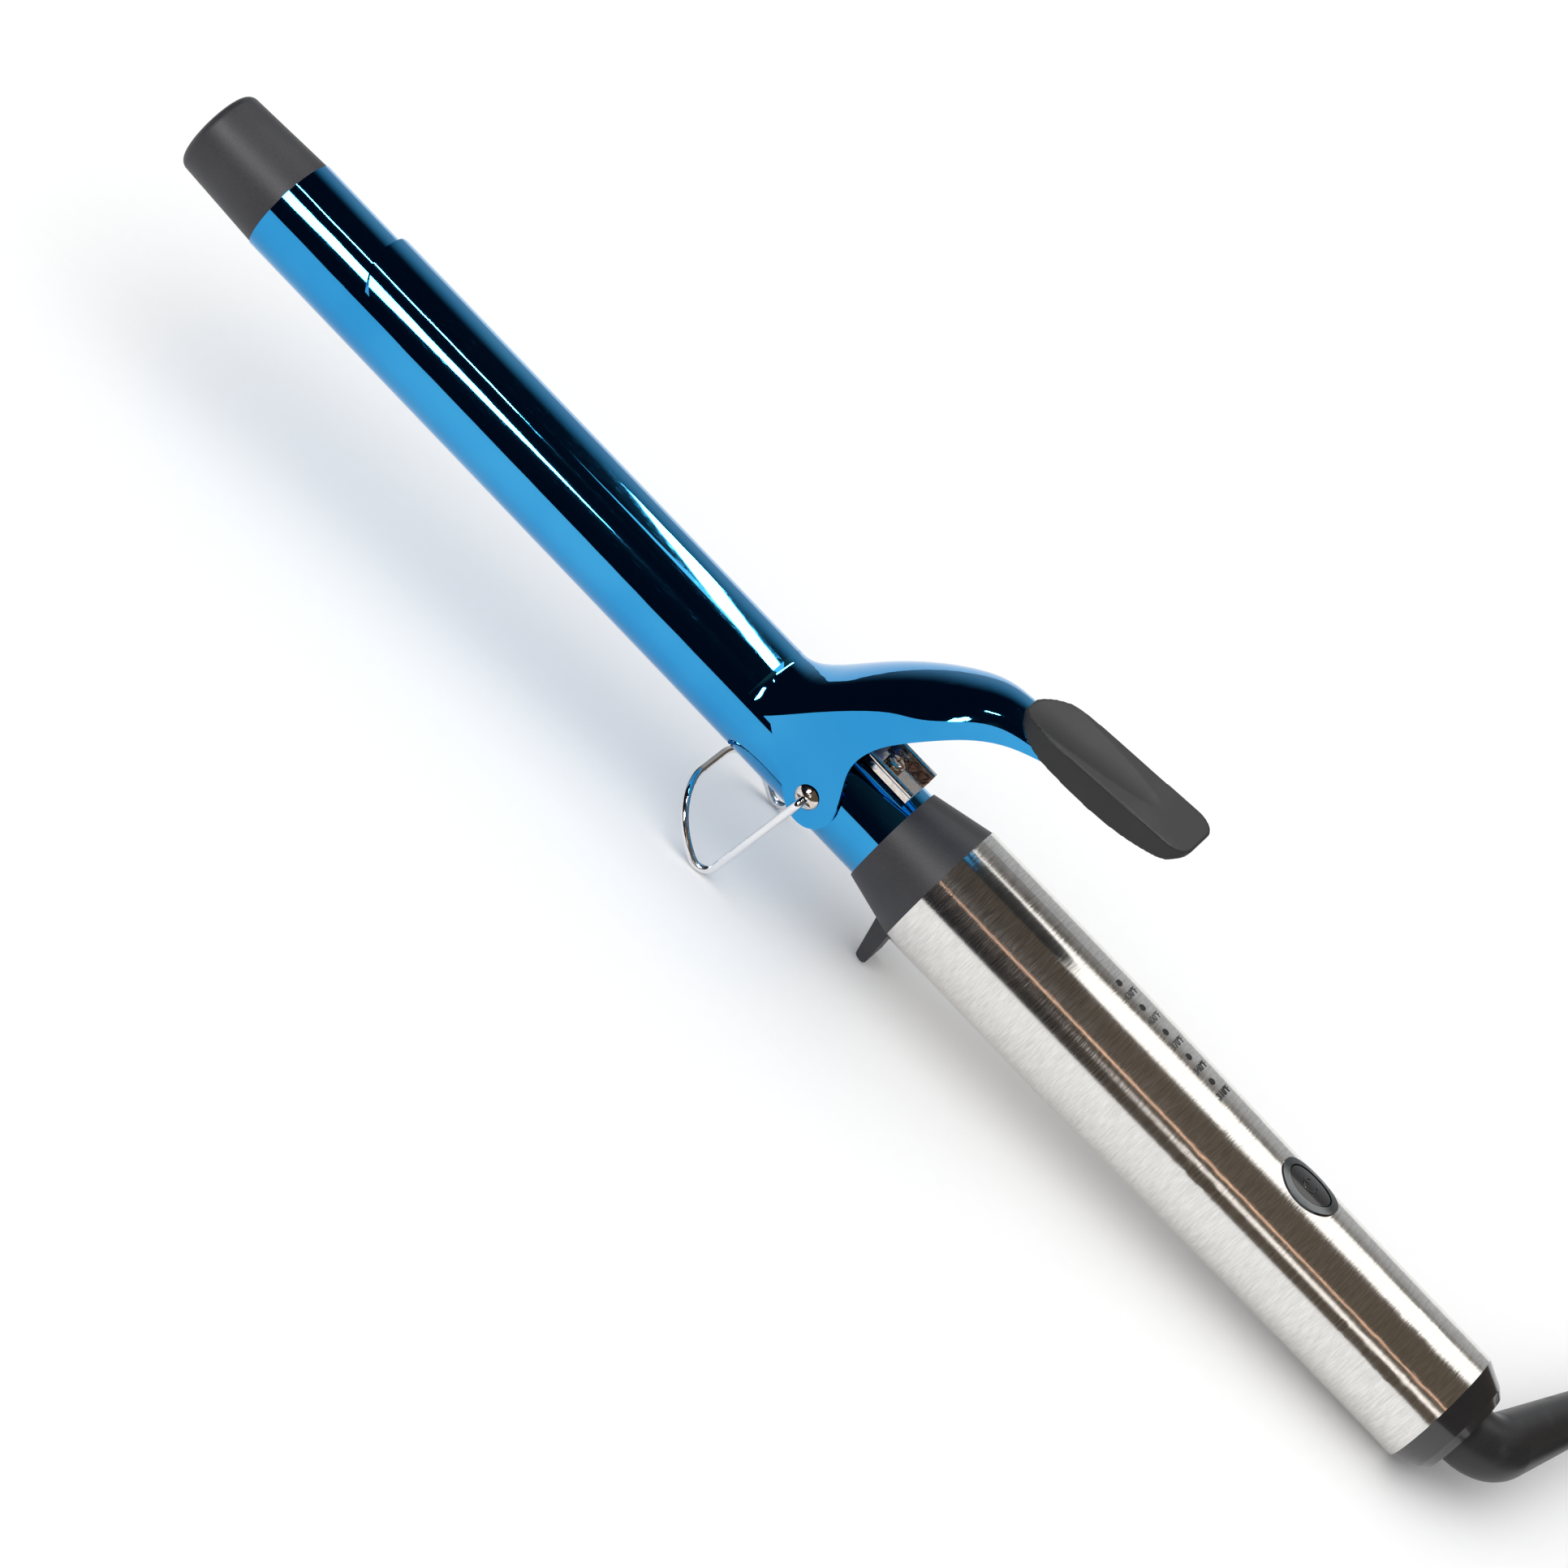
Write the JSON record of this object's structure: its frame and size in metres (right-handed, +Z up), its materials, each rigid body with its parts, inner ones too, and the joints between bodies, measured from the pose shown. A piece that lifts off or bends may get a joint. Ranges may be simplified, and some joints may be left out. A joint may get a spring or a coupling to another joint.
{
  "type": "curling iron",
  "caption": "Electric curling iron with a blue-plated barrel, a spring clamp with thumb lever, a wire stand, a brushed metal handle and a swivelling mains lead",
  "frame": {"origin": "on the table, under the middle of the iron", "axes": "X along the iron from the barrel tip to the cord end, Y across it, Z up; the iron leans back 4.7 degrees on its wire stand"},
  "size_m": [0.5574, 0.1356, 0.0853],
  "materials": {
    "blue_plating": "mirror-polished metal with a blue ceramic-metal plating",
    "black_resin": "heat-resistant moulded resin, fine matt grain",
    "rest_resin": "heat-resistant moulded resin, matt",
    "ceramic": "fired alumina, matt white",
    "aluminium": "extruded, plain",
    "lead_insulation": "silicone sleeving over copper strand",
    "brass": "turned brass",
    "nickel_steel": "nickel-plated, bright",
    "spring_steel": "hardened strip, satin",
    "chrome_wire": "chrome-plated wire, mirror",
    "brushed_steel": "brushed around the tube, clear-coated",
    "core_resin": "moulded resin, plain",
    "circuit_laminate": "glass-epoxy board with green resist",
    "gloss_black": "moulded, high gloss",
    "clear_lens": "clear moulded light pipe",
    "soft_pvc": "flexible PVC, satin to glossy",
    "tie_fabric": "woven hook-and-loop strap",
    "brass_nickel": "nickel-plated brass blades"
  },
  "bodies": {
    "iron": {"barrel_tube": "blue_plating", "tip_cap": "black_resin", "heater_element": "ceramic", "heat_spreader_upper": "aluminium", "heat_spreader_lower": "aluminium", "thermistor": "ceramic", "heater_leads": "lead_insulation", "pivot_inserts": "brass", "pivot_screws": "nickel_steel", "spring_bracket": "nickel_steel", "bracket_screw": "nickel_steel", "return_spring": "spring_steel", "ferrule": "black_resin", "handle_sleeve": "brushed_steel", "core_upper": "core_resin", "core_lower": "core_resin", "circuit_board": "circuit_laminate", "board_screws": "nickel_steel", "power_relay": "gloss_black", "power_switch": "gloss_black", "indicator_leds": "clear_lens", "indicator_lenses": "clear_lens", "button_bezel": "nickel_steel", "end_cap": "gloss_black", "swivel_gland": "soft_pvc", "slip_rings": "brass", "supply_leads": "lead_insulation", "power_cord": "soft_pvc", "cord_coil": "soft_pvc", "cord_tail": "soft_pvc", "cord_tie": "tie_fabric", "plug_body": "soft_pvc", "plug_blades": "brass_nickel"},
    "clamp_lever": {"clamp": "blue_plating", "thumb_rest": "rest_resin", "thumb_rest_screw": "nickel_steel"},
    "stand": {"stand_wire": "chrome_wire"},
    "button": {"power_button": "gloss_black"}
  },
  "joints": [
    {"name": "clamp_hinge", "type": "hinge", "parent": "iron", "child": "clamp_lever", "pos_m": [0.0004, 0, 0.0321], "axis": [0, 1, 0], "range_deg": [0, 22], "stiffness_Nm_per_rad": 0.9, "springref_deg": -20.05, "deforming": ["return_spring"]},
    {"name": "stand_hinge", "type": "hinge", "parent": "iron", "child": "stand", "pos_m": [0.0004, 0, 0.0321], "axis": [0, 1, 0], "range_deg": [-95, 15]},
    {"name": "button_slide", "type": "slide", "parent": "iron", "child": "button", "axis": [-0.0823, 0, -0.9966], "range_m": [0, 0.0005], "stiffness_N_per_m": 200}
  ]
}
